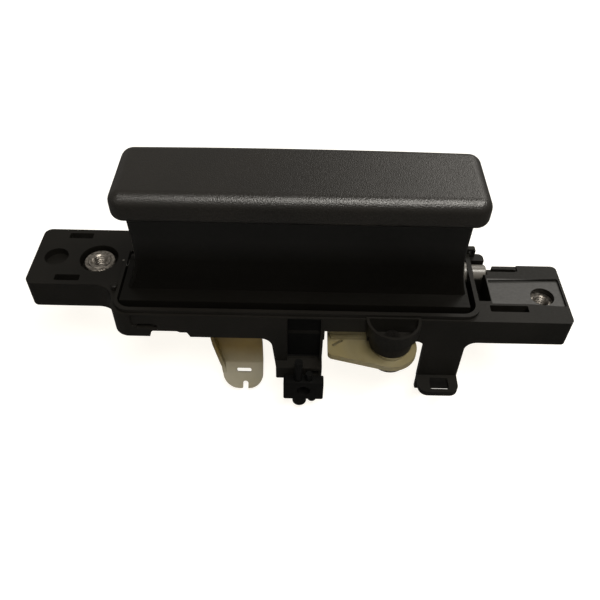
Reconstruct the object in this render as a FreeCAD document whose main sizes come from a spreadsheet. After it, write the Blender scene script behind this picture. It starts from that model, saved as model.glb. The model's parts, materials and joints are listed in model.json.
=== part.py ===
import FreeCAD, Part
import math
import os
import re
import Sketcher

# Interior door handle: a rocking T-section grip in a moulded housing, with two cable levers.
# Frame: +X along the grip, +Y away from the user's side, +Z out of the door.
# The origin is on the left insert's axis, in the plane of the door face.

doc = FreeCAD.newDocument("interior_door_handle")
sheet = doc.addObject("Spreadsheet::Sheet", "Sizes")

sizes = {
    # housing plan, in millimetres
    "ear_top": 12.0,
    "skirt_bottom": 0.5,
    "ear_left": -24.5,
    "ear_left_inner": 11.5,
    "ear_left_front": -14.1,
    "ear_left_back": 16.3,
    "block_left": 9.0,
    "skirt_gap": 2.8,
    "block_back": 6.8,
    "ear_right_start": 146.5,
    "ear_right_end": 173.1,
    "ear_right_back": 0.6,
    "ear_skin": 4.0,
    "wall": 2.2,
    "pocket_left": 11.5,
    "pocket_right": 139.0,
    "pocket_back": 4.6,
    "pocket_round": 5.0,
    "floor": 1.7,
    "lip_height": 1.6,
    "lip_width": 1.1,
    # fasteners in the ears
    "insert_bore": 2.5,
    "insert_radius": 4.5,
    "insert_flange": 5.6,
    "insert_seat": 8.0,
    "insert_flange_thick": 1.2,
    "insert_clearance": 0.05,
    "recess_radius": 7.25,
    "right_insert_x": 164.9,
    "right_insert_y": -14.7,
    "right_hole_radius": 4.3,
    "right_insert_radius": 5.0,
    "right_insert_height": 8.8,
    "seat_radius": 8.5,
    # rocking axis
    "pivot_y": -0.8,
    "pivot_z": 9.2,
    "shaft_radius": 2.0,
    "running_gap": 0.05,
    "bush_radius": 2.8,
    "bush_flange": 4.2,
    "bush_flange_thick": 1.2,
    "shaft_left": 9.3,
    "shaft_right": 146.3,
    # grip
    "cap_left": 18.5,
    "cap_length": 115.0,
    "cap_front": -26.7,
    "cap_width": 29.0,
    "cap_top": 62.0,
    "cap_height": 9.7,
    "cap_crown": 1.0,
    "cap_wall": 2.2,
    "cap_round": 3.6,
    "stem_front": -15.7,
    "stem_thick": 10.0,
    "stem_wall": 2.4,
    "dish_left": 12.4,
    "dish_right": 136.9,
    "dish_top": 13.5,
    "dish_skin": 2.4,
    "skirt_radius": 22.6,
    "skirt_low": 7.2,
    "barrel_radius": 4.6,
    # drive finger and bell crank
    "finger_x": 97.5,
    "finger_y": -14.0,
    "finger_wide": 4.0,
    "finger_thick": 3.0,
    "finger_low": -6.2,
    "crank_arm": 12.0,
    "crank_reach": 2.8,
    "lobe_y": -29.1,
    "crank_top": -1.2,
    "crank_thick": 2.4,
    "crank_lobe": 9.8,
    "crank_tail": 10.6,
    "crank_pin_radius": 2.0,
    "crank_head_radius": 2.7,
    "finger_play": 1.4,
    # cable lever
    "lever_web_y": -19.2,
    "lever_thick": 2.5,
    "lever_low": -32.0,
    "lever_flange_thick": 2.4,
    "lever_window_left": 39.5,
    "lever_window_right": 64.5,
    "screw_left": 45.0,
    "screw_right": 58.0,
    "screw_y": -12.6,
    "screw_radius": 1.5,
    # springs
    "spring_radius": 2.75,
    "spring_wire": 0.9,
    "spring_depth": 11.0,
    "crank_spring_radius": 6.0,
    # legs and boss on the front wall
    "leg_low": -12.0,
    "bracket_left": 122.0,
    "bracket_right": 137.0,
    "bracket_low": -19.0,
    "bracket_depth": 8.1,
    "bracket_thick": 2.2,
    "boss_radius": 9.6,
    "boss_wall": 1.0,
    "boss_step": 7.3,
    "boss_floor": 5.6,
}

for row, (name, amount) in enumerate(sizes.items(), start=1):
    sheet.set(f"A{row}", name)
    sheet.set(f"B{row}", str(amount))
    sheet.setAlias(f"B{row}", name)
doc.recompute()


# Places that follow from the sizes
derived = {
    "block_front": "(pivot_y - skirt_radius - skirt_gap - wall)",
    "crank_x": "(finger_x + crank_arm)",
    "crank_y": "(block_front - crank_reach)",
    "crank_left": "(finger_x - crank_tail)",
    "bracket_front": "(block_front - bracket_depth)",
}


def formula(text):
    """Turn the plain names in a formula into references to the sheet's cells."""
    def refer(word):
        name = word.group()
        if name in derived:
            return formula(derived[name])
        return "Sizes." + name if name in sizes else name
    return re.sub(r"[a-z][a-z_]*", refer, str(text))


def value(text):
    return float(sheet.evalExpression(formula(text)))


def bind(item, path, text):
    item.setExpression(path, formula(text))


# Sketches: each corner is (across, up, round), with every number a formula of named sizes

def pin_point(sketch, geometry, position, across, up):
    for kind, text in (("DistanceX", across), ("DistanceY", up)):
        index = sketch.addConstraint(Sketcher.Constraint(kind, -1, 1, geometry, position, value(text)))
        bind(sketch, f"Constraints[{index}]", text)


def hold_radius(sketch, geometry, text):
    index = sketch.addConstraint(Sketcher.Constraint("Radius", geometry, value(text)))
    bind(sketch, f"Constraints[{index}]", text)


def draw_outline(sketch, corners):
    """Draw a closed outline of straight lines whose corners may be rounded."""
    places = [(value(across), value(up), value(rounding)) for across, up, rounding in corners]
    count = len(places)
    entries, exits, centres = [], [], []
    for index, (x, y, radius) in enumerate(places):
        before = FreeCAD.Vector(places[index - 1][0] - x, places[index - 1][1] - y, 0).normalize()
        after = FreeCAD.Vector(places[(index + 1) % count][0] - x, places[(index + 1) % count][1] - y, 0)
        after.normalize()
        half = before.getAngle(after) / 2
        reach = radius / math.tan(half) if radius else 0
        middle = before + after
        corner = FreeCAD.Vector(x, y, 0)
        entries.append(corner + before * reach)
        exits.append(corner + after * reach)
        centres.append(corner + middle.normalize() * (radius / math.sin(half)) if radius else corner)
    lines = []
    for index in range(count):
        line = Part.LineSegment(exits[index], entries[(index + 1) % count])
        lines.append(sketch.addGeometry(line, False))
    for index, (across, up, rounding) in enumerate(corners):
        x, y, radius = places[index]
        if not radius:
            sketch.addConstraint(Sketcher.Constraint("Coincident", lines[index - 1], 2, lines[index], 1))
            pin_point(sketch, lines[index], 1, across, up)
            continue
        corner = FreeCAD.Vector(x, y, 0)
        toward = (corner - centres[index]).normalize() * radius
        arc = sketch.addGeometry(Part.Arc(entries[index], centres[index] + toward, exits[index]), False)
        first = 1 if sketch.getPoint(arc, 1).distanceToPoint(entries[index]) < 1e-5 else 2
        mark = sketch.addGeometry(Part.Point(corner), True)
        sketch.addConstraint(Sketcher.Constraint("Tangent", lines[index - 1], 2, arc, first))
        sketch.addConstraint(Sketcher.Constraint("Tangent", arc, 3 - first, lines[index], 1))
        hold_radius(sketch, arc, rounding)
        pin_point(sketch, mark, 1, across, up)
        sketch.addConstraint(Sketcher.Constraint("PointOnObject", mark, 1, lines[index - 1]))
        sketch.addConstraint(Sketcher.Constraint("PointOnObject", mark, 1, lines[index]))


def draw_rectangle(sketch, left, right, low, high, rounding="0"):
    draw_outline(sketch, [(left, low, rounding), (right, low, rounding),
                          (right, high, rounding), (left, high, rounding)])


def draw_circle(sketch, across, up, radius):
    centre = FreeCAD.Vector(value(across), value(up), 0)
    circle = sketch.addGeometry(Part.Circle(centre, FreeCAD.Vector(0, 0, 1), value(radius)), False)
    hold_radius(sketch, circle, radius)
    pin_point(sketch, circle, 3, across, up)


def draw_path(sketch, stops):
    """Draw a closed path; a stop with a radius and a middle point starts an arc to the next stop."""
    edges = []
    for index, stop in enumerate(stops):
        following = stops[(index + 1) % len(stops)]
        start = FreeCAD.Vector(value(stop[0]), value(stop[1]), 0)
        end = FreeCAD.Vector(value(following[0]), value(following[1]), 0)
        if len(stop) == 2:
            edges.append((sketch.addGeometry(Part.LineSegment(start, end), False), 1, 2))
            continue
        through = FreeCAD.Vector(value(stop[3]), value(stop[4]), 0)
        arc = sketch.addGeometry(Part.Arc(start, through, end), False)
        first = 1 if sketch.getPoint(arc, 1).distanceToPoint(start) < 1e-5 else 2
        edges.append((arc, first, 3 - first))
    for index, stop in enumerate(stops):
        edge, first, last = edges[index]
        earlier, _, ending = edges[index - 1]
        sketch.addConstraint(Sketcher.Constraint("Coincident", earlier, ending, edge, first))
        pin_point(sketch, edge, first, stop[0], stop[1])
        if len(stop) > 2:
            hold_radius(sketch, edge, stop[2])


# Features: a block or a cut reaches from its low side to its high side along the plane's axis

normals = {"XY": 1, "XZ": -1, "YZ": 1}


def new_body(name):
    body = doc.addObject("PartDesign::Body", name)
    body.Label = name
    return body


def new_sketch(body, plane, name, at="0"):
    sketch = body.newObject("Sketcher::SketchObject", name)
    origin_plane = [item for item in body.Origin.OriginFeatures if item.Role == plane + "_Plane"][0]
    sketch.AttachmentSupport = [(origin_plane, "")]
    sketch.MapMode = "FlatFace"
    bind(sketch, "AttachmentOffset.Base.z", at if normals[plane] > 0 else f"-({at})")
    return sketch


def add_block(body, plane, low, high, name, draw):
    sketch = new_sketch(body, plane, name + "_sketch", low if normals[plane] > 0 else high)
    draw(sketch)
    pad = body.newObject("PartDesign::Pad", name)
    pad.Profile = sketch
    bind(pad, "Length", f"({high}) - ({low})")
    return pad


def add_cut(body, plane, low, high, name, draw):
    sketch = new_sketch(body, plane, name + "_sketch", high if normals[plane] > 0 else low)
    draw(sketch)
    pocket = body.newObject("PartDesign::Pocket", name)
    pocket.Profile = sketch
    bind(pocket, "Length", f"({high}) - ({low})")
    return pocket


def add_fillet(body, name, radius, wanted, kind="PartDesign::Fillet"):
    doc.recompute()
    base = body.Tip
    chosen = [f"Edge{number}" for number, edge in enumerate(base.Shape.Edges, start=1) if wanted(edge)]
    fillet = body.newObject(kind, name)
    fillet.Base = (base, chosen)
    bind(fillet, "Radius" if kind.endswith("Fillet") else "Size", radius)
    return fillet


def rectangle(left, right, low, high, rounding="0"):
    return lambda sketch: draw_rectangle(sketch, left, right, low, high, rounding)


def circle(across, up, radius):
    return lambda sketch: draw_circle(sketch, across, up, radius)


def ring(across, up, outer, inner):
    def draw(sketch):
        draw_circle(sketch, across, up, outer)
        draw_circle(sketch, across, up, inner)
    return draw


def outline(corners):
    return lambda sketch: draw_outline(sketch, corners)


def lies_at(edge, axis, place):
    box = edge.BoundBox
    low, high = {"x": (box.XMin, box.XMax), "y": (box.YMin, box.YMax), "z": (box.ZMin, box.ZMax)}[axis]
    return abs(low - place) < 0.01 and abs(high - place) < 0.01


# Housing

def add_housing_shell(body):
    add_block(body, "XY", "skirt_bottom", "ear_top", "plan", outline([
        ("ear_left", "ear_left_front", "3"),
        ("block_left", "ear_left_front", "8"),
        ("block_left", "block_front", "6"),
        ("ear_right_end", "block_front", "2"),
        ("ear_right_end", "ear_right_back", "2"),
        ("ear_right_start", "ear_right_back", "1"),
        ("ear_right_start", "block_back", "2"),
        ("ear_left_inner", "block_back", "3"),
        ("ear_left_inner", "ear_left_back", "3"),
        ("ear_left", "ear_left_back", "3"),
    ]))
    add_block(body, "XY", "ear_top", "ear_top + lip_height", "lip", rectangle(
        "pocket_left - lip_width", "pocket_right + 1.5",
        "block_front + wall - lip_width - 0.4", "pocket_back + lip_width", "pocket_round + 0.8"))
    add_cut(body, "XY", "skirt_bottom + floor", "ear_top + lip_height + 1", "pocket", outline([
        ("pocket_left", "block_front + wall", "pocket_round"),
        ("pocket_right", "block_front + wall", "pocket_round"),
        ("pocket_right", "pocket_back", "0.6"), ("pocket_left", "pocket_back", "0.6")]))


def add_floor_windows(body):
    add_cut(body, "XY", "skirt_bottom - 1", "skirt_bottom + floor + 1", "lever_window", rectangle(
        "lever_window_left", "lever_window_right", "lever_web_y - 3.8", "lever_web_y + 5.2", "1"))
    add_cut(body, "XY", "skirt_bottom - 1", "skirt_bottom + floor + 1", "finger_window", rectangle(
        "finger_x - finger_wide / 2 - 1.5", "finger_x + finger_wide / 2 + 1.5",
        "finger_y - 5.2", "finger_y + 4.5", "0.8"))


def add_left_ear(body):
    low = "skirt_bottom - 1"
    skin = "ear_top - ear_skin"
    add_cut(body, "XY", low, skin, "left_ear_hollow", rectangle(
        "ear_left + wall", "block_left - wall / 2", "ear_left_front + wall", "ear_left_back - wall", "1.5"))
    for number, place in enumerate(("-17", "4"), start=1):
        add_block(body, "XY", "skirt_bottom", "ear_top - 1", f"left_ear_rib_{number}", rectangle(
            f"{place} - 0.8", f"{place} + 0.8", "ear_left_front + 1", "ear_left_back - 1"))
    add_block(body, "XY", "0", "ear_top - 1", "left_seat", circle("0", "0", "seat_radius"))
    add_cut(body, "XY", "insert_seat", "ear_top + 1", "left_recess", circle("0", "0", "recess_radius"))
    add_cut(body, "XY", "-1", "ear_top", "left_insert_hole", circle(
        "0", "0", "insert_radius + insert_clearance"))
    add_cut(body, "XY", "ear_top - 2.8", "ear_top + 1", "blind_recess", circle("-16.3", "0.6", "4.5"))
    for name, middle in (("back_slit", "12.6"), ("front_slit", "-10.6")):
        add_cut(body, "XY", skin + " - 1", "ear_top + 1", name, rectangle(
            "-14.2", "-5", f"{middle} - 1.5", f"{middle} + 1.5", "0.4"))


def add_right_ear(body):
    low = "skirt_bottom - 1"
    skin = "ear_top - ear_skin"
    add_cut(body, "XY", low, skin, "right_ear_hollow", rectangle(
        "ear_right_start + wall", "ear_right_end - wall", "block_front + wall", "ear_right_back - wall", "1.5"))
    add_block(body, "XY", "skirt_bottom", "ear_top - 1", "right_ear_rib", rectangle(
        "ear_right_start + 6", "ear_right_start + 7.6", "block_front + 1", "ear_right_back - 1"))
    add_block(body, "XY", "0", "ear_top - 1", "right_seat", circle(
        "right_insert_x", "right_insert_y", "seat_radius"))
    add_cut(body, "XY", "ear_top - 0.8", "ear_top + 1", "centre_strip", outline([
        ("ear_right_start - 0.5", "-18.2", "0.5"), ("ear_right_end - 0.8", "-20.4", "0.8"),
        ("ear_right_end - 0.8", "-6.2", "0.8"), ("ear_right_start - 0.5", "-7.4", "0.5")]))
    add_cut(body, "XY", "ear_top - 4", "ear_top + 1", "right_screw_hole", circle(
        "right_insert_x", "right_insert_y", "right_hole_radius"))
    add_cut(body, "XY", "-1", "right_insert_height", "right_insert_hole", circle(
        "right_insert_x", "right_insert_y", "right_insert_radius + insert_clearance"))
    add_cut(body, "XY", skin + " - 1", "ear_top + 1", "front_slot", rectangle(
        "ear_right_start - 2", "158.2", "-23.4", "-20.3", "0.4"))
    add_cut(body, "XY", "ear_top - 2.4", "ear_top + 1", "back_slot", rectangle(
        "ear_right_start - 0.2", "158.2", "-2.6", "ear_right_back + 1"))
    add_block(body, "XY", "ear_top - 2.4", "ear_top - 0.5", "back_ridge", rectangle(
        "149", "158.2", "-1.3", "ear_right_back", "0.3"))


def add_pivot_seats(body):
    add_cut(body, "XY", "skirt_bottom + floor", "ear_top + lip_height + 1", "side_well", rectangle(
        "pocket_right + 1.7", "ear_right_start - 1", "-18.3", "pivot_y - bush_radius - 1", "0.6"))
    add_cut(body, "XY", "pivot_z", "ear_top + lip_height + 1", "barrel_saddle", rectangle(
        "pocket_right + 1.7", "ear_right_start", "pivot_y - bush_radius - 1", "pivot_y + bush_radius + 1"))
    add_block(body, "XY", "ear_top - 2", "ear_top + lip_height", "bearing_wall", rectangle(
        "pocket_right", "pocket_right + 1.7", "pivot_y - 5", "pocket_back + 1"))
    add_cut(body, "YZ", "block_left", "pocket_left + 1", "left_bush_hole", circle(
        "pivot_y", "pivot_z", "bush_radius + 0.02"))
    add_cut(body, "YZ", "pocket_right - 1", "ear_right_start", "right_bush_hole", circle(
        "pivot_y", "pivot_z", "bush_radius + 0.02"))
    add_block(body, "XZ", "pocket_back + 0.3", "block_back", "upright_tab", rectangle(
        "pocket_right + 0.5", "pocket_right + 4", "ear_top - 1", "ear_top + 4", "0.8"))
    add_cut(body, "XZ", "pocket_back - 1", "block_back + 1", "tab_hole", circle(
        "pocket_right + 2.3", "ear_top + 2.4", "0.9"))


def add_half_boss(body):
    add_block(body, "XY", "boss_step", "ear_top + 0.6", "half_boss", outline_half_round(
        "crank_x", "block_front + 1.5", "boss_radius"))
    add_block(body, "XY", "skirt_bottom", "boss_step", "half_boss_foot", outline_half_round(
        "crank_x", "block_front + 1.5", "boss_radius - 1.8"))
    add_cut(body, "XY", "boss_floor", "ear_top + 2", "half_boss_hollow", outline_half_round(
        "crank_x", "block_front", "boss_radius - boss_wall"))
    add_cut(body, "XY", "skirt_bottom - 1", "boss_floor + 1", "crank_pin_hole", circle(
        "crank_x", "crank_y", "crank_pin_radius + 0.02"))


def outline_half_round(across, back, radius):
    """A half disc that bulges towards the front from its straight back edge."""
    left, right = f"{across} - ({radius})", f"{across} + ({radius})"
    front = f"block_front - ({radius})"
    return outline([(left, back, "0"), (left, front, f"{radius} - 0.02"),
                    (right, front, f"{radius} - 0.02"), (right, back, "0")])


def add_front_legs(body):
    front, back = "block_front", "block_front + wall"
    add_block(body, "XZ", front, back, "middle_leg", outline([
        ("55", "skirt_bottom + 2", "0"), ("55", "skirt_bottom", "0"), ("66.2", "skirt_bottom", "4.5"),
        ("68", "leg_low - 5.5", "0"), ("85", "leg_low - 5.5", "0"), ("85.2", "skirt_bottom + 2", "0")]))
    add_block(body, "XY", "leg_low - 6", "leg_low", "middle_foot", rectangle(
        "68", "85.2", "block_front - 3.6", back, "0.6"))
    add_cut(body, "XZ", "block_front - 5", "block_front + 0.3", "foot_hole", rectangle(
        "79.2", "84", "leg_low - 4.6", "leg_low - 1.4"))
    add_cut(body, "XZ", "block_front - 1", "block_front + 1.5", "leg_channel", rectangle(
        "72.2", "84.2", "leg_low", "ear_top - 0.6"))
    add_block(body, "XZ", front, back, "right_leg", outline([
        ("bracket_left - 7", "skirt_bottom + 2", "0"), ("bracket_left - 7", "skirt_bottom", "0"),
        ("bracket_left", "skirt_bottom", "3"), ("bracket_left", "bracket_low", "0"),
        ("bracket_right", "bracket_low", "0"), ("bracket_right", "skirt_bottom", "4"),
        ("bracket_right + 9", "skirt_bottom", "0"), ("bracket_right + 9", "skirt_bottom + 2", "0")]))
    add_block(body, "XY", "bracket_low - bracket_thick", "bracket_low", "right_foot", outline([
        ("bracket_left", back, "0"), ("bracket_left", "bracket_front", "3.5"),
        ("bracket_right", "bracket_front", "3.5"), ("bracket_right", back, "0")]))
    add_cut(body, "XY", "bracket_low - bracket_thick - 1", "bracket_low + 1", "right_foot_slot", rectangle(
        "bracket_left + 4.4", "bracket_right - 3.6", "bracket_front + 1.6", "block_front - 1.4", "0.6"))


def add_front_wall_details(body):
    add_cut(body, "XZ", "block_front - 1", "block_front + 0.5", "inset_panel", rectangle(
        "16.5", "24.5", "5.8", "ear_top - 0.4", "0.4"))
    add_cut(body, "XZ", "block_front - 1", "block_front + 1.6", "latch_slot", rectangle(
        "18.3", "25.6", "5", "6.6", "0.3"))
    add_cut(body, "XZ", "block_front - 1", "block_front + wall + 2", "bottom_notch", outline([
        ("22.2", "skirt_bottom - 1", "0"), ("23.4", "skirt_bottom + 3", "1"),
        ("32.5", "skirt_bottom + 3", "1"), ("33.5", "skirt_bottom + 2.4", "0.5"),
        ("36", "skirt_bottom + 2.4", "0.5"), ("37.5", "skirt_bottom - 1", "0")]))


def make_housing():
    body = new_body("housing")
    add_housing_shell(body)
    add_left_ear(body)
    add_right_ear(body)
    add_pivot_seats(body)
    add_front_legs(body)
    add_half_boss(body)
    add_front_wall_details(body)
    add_floor_windows(body)
    return body


# Grip

def draw_dish(sketch):
    """Section of the dish: flat top, skirt round the pivot at the front, hinge barrel at the back."""
    rim = "pivot_y - sqrt(skirt_radius^2 - (dish_top - pivot_z)^2)"
    foot = "pivot_y - sqrt(skirt_radius^2 - (pivot_z - skirt_low)^2)"
    inner = "skirt_radius - dish_skin"
    inner_foot = f"pivot_y - sqrt(({inner})^2 - (pivot_z - skirt_low)^2)"
    inner_top = f"pivot_y - sqrt(({inner})^2 - (dish_top - dish_skin - pivot_z)^2)"
    barrel_start = "pivot_y - sqrt(barrel_radius^2 - (dish_top - pivot_z)^2)"
    barrel_end = "pivot_y - sqrt(barrel_radius^2 - (dish_top - dish_skin - pivot_z)^2)"
    draw_path(sketch, [
        (foot, "skirt_low", "skirt_radius", "pivot_y - skirt_radius", "pivot_z"),
        (rim, "dish_top"),
        (barrel_start, "dish_top", "barrel_radius", "pivot_y + barrel_radius", "pivot_z"),
        (barrel_end, "dish_top - dish_skin"),
        (inner_top, "dish_top - dish_skin", inner, f"pivot_y - ({inner})", "pivot_z"),
        (inner_foot, "skirt_low"),
    ])


def add_stem(body):
    """The stem widens smoothly into the dish, more at its ends than on its long faces."""
    levels = [
        ("dish_top - 1", "13.8", "136.4", "stem_front - 1.6", "stem_front + stem_thick + 1.2", "1"),
        ("dish_top + 6", "17", "134.6", "stem_front - 0.2", "stem_front + stem_thick + 0.2", "1.3"),
        ("dish_top + 20", "cap_left + 0.2", "cap_left + cap_length - 0.2", "stem_front",
         "stem_front + stem_thick", "1.5"),
        ("cap_top - cap_height - 1", "cap_left", "cap_left + cap_length", "stem_front",
         "stem_front + stem_thick", "1.6"),
    ]
    sketches = []
    for number, (height, left, right, front, back, rounding) in enumerate(levels, start=1):
        sketch = new_sketch(body, "XY", f"stem_level_{number}", height)
        draw_rectangle(sketch, left, right, front, back, rounding)
        sketches.append(sketch)
    doc.recompute()
    loft = body.newObject("PartDesign::AdditiveLoft", "stem")
    loft.Profile = sketches[0]
    loft.Sections = sketches[1:]
    loft.Ruled = False
    loft.Closed = False


def make_grip_frame():
    body = new_body("grip_frame")
    add_block(body, "YZ", "dish_left", "dish_right", "dish", draw_dish)
    add_stem(body)
    plate_gap = "cap_wall + 0.15"
    add_block(body, "XY", "cap_top - cap_height - 1.2", "cap_top - cap_height + 1.8", "cap_plate", rectangle(
        f"cap_left + {plate_gap}", f"cap_left + cap_length - ({plate_gap})",
        f"cap_front + {plate_gap}", f"cap_front + cap_width - cap_crown - ({plate_gap})", "2.4"))
    add_cut(body, "XY", "dish_top + 4.5", "cap_top", "stem_hollow", rectangle(
        "cap_left + stem_wall + 1", "cap_left + cap_length - stem_wall - 1",
        "stem_front + stem_wall", "stem_front + stem_thick - stem_wall", "1"))
    for number in (1, 2, 3):
        place = f"cap_left + cap_length * {number} / 4"
        add_block(body, "XY", "dish_top + 4", "cap_top - cap_height", f"stem_rib_{number}", rectangle(
            f"{place} - 0.8", f"{place} + 0.8", "stem_front + 1", "stem_front + stem_thick - 1"))
    add_block(body, "XY", "finger_low", "dish_top - 1", "finger", rectangle(
        "finger_x - finger_wide / 2", "finger_x + finger_wide / 2",
        "finger_y - finger_thick / 2", "finger_y + finger_thick / 2", "0.6"))
    add_cut(body, "YZ", "dish_left - 1", "dish_right + 1", "shaft_bore", circle(
        "pivot_y", "pivot_z", "shaft_radius + running_gap"))
    add_cut(body, "YZ", "dish_right - spring_depth", "dish_right + 1", "spring_bay", circle(
        "pivot_y", "pivot_z", "spring_radius + spring_wire + 0.4"))
    for number, place in enumerate(("screw_left", "screw_right"), start=1):
        add_cut(body, "XY", "dish_top - dish_skin - 1", "dish_top + 4", f"screw_pilot_{number}", circle(
            place, "screw_y", "screw_radius + 0.02"))
    return body


def make_grip_cover():
    body = new_body("grip_cover")
    back = "cap_front + cap_width"
    right = "cap_left + cap_length"
    low = "cap_top - cap_height"
    middle = "cap_left + cap_length / 2"
    bow = "((cap_length / 2)^2 + cap_crown^2) / (2 * cap_crown)"
    add_block(body, "XY", low, "cap_top", "cap", lambda sketch: draw_path(sketch, [
        ("cap_left", "cap_front"),
        (right, "cap_front"),
        (right, f"{back} - cap_crown", bow, middle, back),
        ("cap_left", f"{back} - cap_crown"),
    ]))
    add_fillet(body, "cap_corners", "4.2", lambda edge: abs(edge.BoundBox.ZLength - value("cap_height")) < 0.01)
    add_fillet(body, "cap_top_round", "cap_round", lambda edge: lies_at(edge, "z", value("cap_top")))
    add_fillet(body, "cap_low_round", "1.2", lambda edge: lies_at(edge, "z", value(low)))
    add_cut(body, "XY", low + " - 1", "cap_top - cap_wall - 0.6", "cap_hollow", rectangle(
        "cap_left + cap_wall", f"{right} - cap_wall", "cap_front + cap_wall",
        f"{back} - cap_crown - cap_wall", "2.5"))
    return body


def make_cable_lever():
    body = new_body("cable_lever")
    front, back = "lever_web_y - lever_thick / 2", "lever_web_y + lever_thick / 2"
    top = "dish_top - dish_skin"
    add_block(body, "XZ", front, back, "web", outline([
        ("42.5", top, "0"), ("42.5", "-6", "6"), ("47.6", "lever_low + 5", "5"), ("48", "lever_low", "0"),
        ("62.3", "lever_low", "0"), ("62", "-12", "4"), ("60.5", top, "0")]))
    add_block(body, "XY", f"{top} - lever_flange_thick", top, "flange", rectangle(
        "40.5", "62.5", front, "stem_front + stem_thick - 2.5", "1"))
    add_block(body, "XY", "lever_low - 2.4", "lever_low", "foot", outline([
        ("48", back, "0"), ("48", "-25.4", "3"), ("51.5", "-27.2", "2"), ("54.2", "-27", "0.6"),
        ("54.6", "-24.8", "0.3"), ("56.2", "-24.8", "0.3"), ("56.6", "-27", "0.6"),
        ("60.4", "-26", "2.5"), ("62.6", "-22.5", "2"), ("62.3", back, "0")]))
    add_block(body, "YZ", "48", "49.8", "left_rib", outline([
        (back, "-2", "0"), (back, "lever_low", "0"), ("-25.2", "lever_low", "0"),
        ("-22.6", "lever_low + 6", "3"), (front, "-2", "0")]))
    add_cut(body, "XZ", front + " - 1", back + " + 1", "cable_slot", rectangle(
        "52", "58", "lever_low + 2", "lever_low + 4.1", "1"))
    for number, place in enumerate(("screw_left", "screw_right"), start=1):
        add_cut(body, "XY", f"{top} - lever_flange_thick - 1", f"{top} + 1", f"screw_hole_{number}", circle(
            place, "screw_y", "screw_radius + 0.2"))
    return body


def make_bell_crank():
    body = new_body("bell_crank")
    low = "crank_top - crank_thick"
    add_block(body, "XY", low, "crank_top", "plate", outline([
        ("crank_left", "-33.6", "2"), ("crank_x - 2", "lobe_y - crank_lobe + 0.2", "5"),
        ("crank_x + 4", "lobe_y - 4", "2"), ("crank_x - 4.4", "finger_y + 5", "3"),
        ("crank_left", "finger_y + 5", "3")]))
    add_block(body, "XY", low, "crank_top", "lobe", circle("crank_x", "lobe_y", "crank_lobe"))
    add_block(body, "XY", f"{low} - 2.4", "crank_top + 1.2", "hub", circle("crank_x", "crank_y", "5.2"))
    add_block(body, "XY", low, "crank_top + 1.2", "stiffening_rib", rectangle(
        "crank_left + 1", "crank_x", "-26.6", "-24.8", "0.5"))
    add_cut(body, "XY", f"{low} - 3", "crank_top + 2", "pin_hole", circle(
        "crank_x", "crank_y", "crank_pin_radius + running_gap"))
    add_cut(body, "XY", f"{low} - 1", "crank_top + 1", "finger_slot", rectangle(
        "finger_x - 5.5", "finger_x + 5.5",
        "finger_y - finger_thick / 2 - finger_play", "finger_y + finger_thick / 2 + finger_play", "1"))
    add_cut(body, "XY", f"{low} - 1", "crank_top + 2", "cable_slit", outline([
        ("88.1", "-29.3", "0.4"), ("89", "-30", "0.4"), ("92.8", "-27.3", "0.4"), ("91.9", "-26.6", "0.4")]))
    return body


# Hardware: turned, wound and moulded pieces as primitives and sweeps

def bound_cylinder(name, radius, height, place, along="Z"):
    piece = doc.addObject("Part::Cylinder", name)
    bind(piece, "Radius", radius)
    bind(piece, "Height", height)
    for axis, text in zip("xyz", place):
        bind(piece, f"Placement.Base.{axis}", text)
    if along == "X":
        piece.Placement.Rotation = FreeCAD.Rotation(FreeCAD.Vector(0, 1, 0), 90)
    return piece


def bound_box(name, low, high):
    piece = doc.addObject("Part::Box", name)
    for side, start, end in zip(("Length", "Width", "Height"), low, high):
        bind(piece, side, f"({end}) - ({start})")
    for axis, text in zip("xyz", low):
        bind(piece, f"Placement.Base.{axis}", text)
    return piece


def join(name, pieces):
    fused = doc.addObject("Part::MultiFuse", name)
    fused.Shapes = pieces
    return fused


def subtract(name, base, tool):
    cut = doc.addObject("Part::Cut", name)
    cut.Base = base
    cut.Tool = tool
    return cut


def make_inserts():
    sleeve = bound_cylinder("left_sleeve", "insert_radius", "insert_seat", ("0", "0", "0"))
    flange = bound_cylinder("left_flange", "insert_flange", "insert_flange_thick", ("0", "0", "insert_seat"))
    bore = bound_cylinder("left_bore", "insert_bore", "insert_seat + insert_flange_thick", ("0", "0", "0"))
    left = subtract("left_insert", join("left_insert_blank", [sleeve, flange]), bore)
    place = ("right_insert_x", "right_insert_y", "0")
    blank = bound_cylinder("right_insert_blank", "right_insert_radius", "right_insert_height", place)
    hole = bound_cylinder("right_bore", "insert_bore", "right_insert_height", place)
    return [left, subtract("right_insert", blank, hole)]


def make_pivot():
    along = ("pivot_y", "pivot_z")
    shaft = bound_cylinder("pivot_shaft", "shaft_radius", "shaft_right - shaft_left", ("shaft_left", *along), "X")
    left = subtract("pivot_bush_left",
                    bound_cylinder("left_bush_blank", "bush_radius", "pocket_left - block_left",
                                   ("block_left", *along), "X"),
                    bound_cylinder("left_bush_bore", "shaft_radius", "pocket_left - shaft_left",
                                   ("shaft_left", *along), "X"))
    sleeve = bound_cylinder("right_bush_sleeve", "bush_radius", "ear_right_start - pocket_right",
                            ("pocket_right", *along), "X")
    flange = bound_cylinder("right_bush_flange", "bush_flange", "bush_flange_thick",
                            ("pocket_right - bush_flange_thick", *along), "X")
    bore = bound_cylinder("right_bush_bore", "shaft_radius", "shaft_right - pocket_right + bush_flange_thick",
                          ("pocket_right - bush_flange_thick", *along), "X")
    right = subtract("pivot_bush_right", join("right_bush_blank", [sleeve, flange]), bore)
    return [shaft, left, right]


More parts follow.
